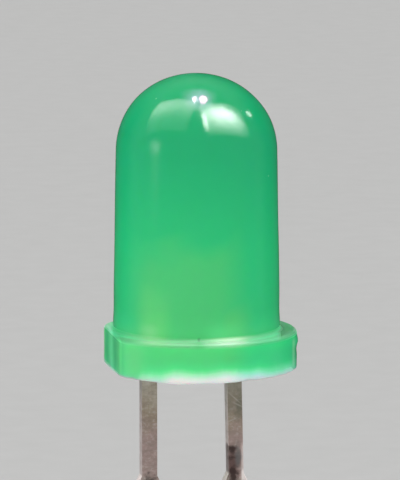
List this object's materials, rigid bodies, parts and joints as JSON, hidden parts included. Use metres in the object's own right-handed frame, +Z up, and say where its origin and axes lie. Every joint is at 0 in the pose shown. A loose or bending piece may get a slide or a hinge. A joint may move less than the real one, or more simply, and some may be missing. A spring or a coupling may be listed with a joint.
{
  "type": "through-hole led",
  "caption": "Round through-hole indicator LED with a diffused green resin dome, a flanged base with a cathode flat, and two straight tinned leads.",
  "frame": {"origin": "centre of the seating plane, the underside of the flange, on the axis of the resin body", "axes": "+Z up out of the dome, with the leads along -Z; -X is the cathode side, which has the flat on the flange; the leads lie in the XZ plane"},
  "size_m": [0.0055, 0.006, 0.0363],
  "materials": {
    "lens_resin": "gloss",
    "tinned_lead": "satin",
    "chip": "satin",
    "chip_adhesive": "matte",
    "bond_wire": "polished"
  },
  "bodies": {
    "root": {"lens": "lens_resin", "cathode_lead": "tinned_lead", "anode_lead": "tinned_lead", "led_die": "chip", "die_attach": "chip_adhesive", "bond_wire": "bond_wire"}
  },
  "joints": []
}
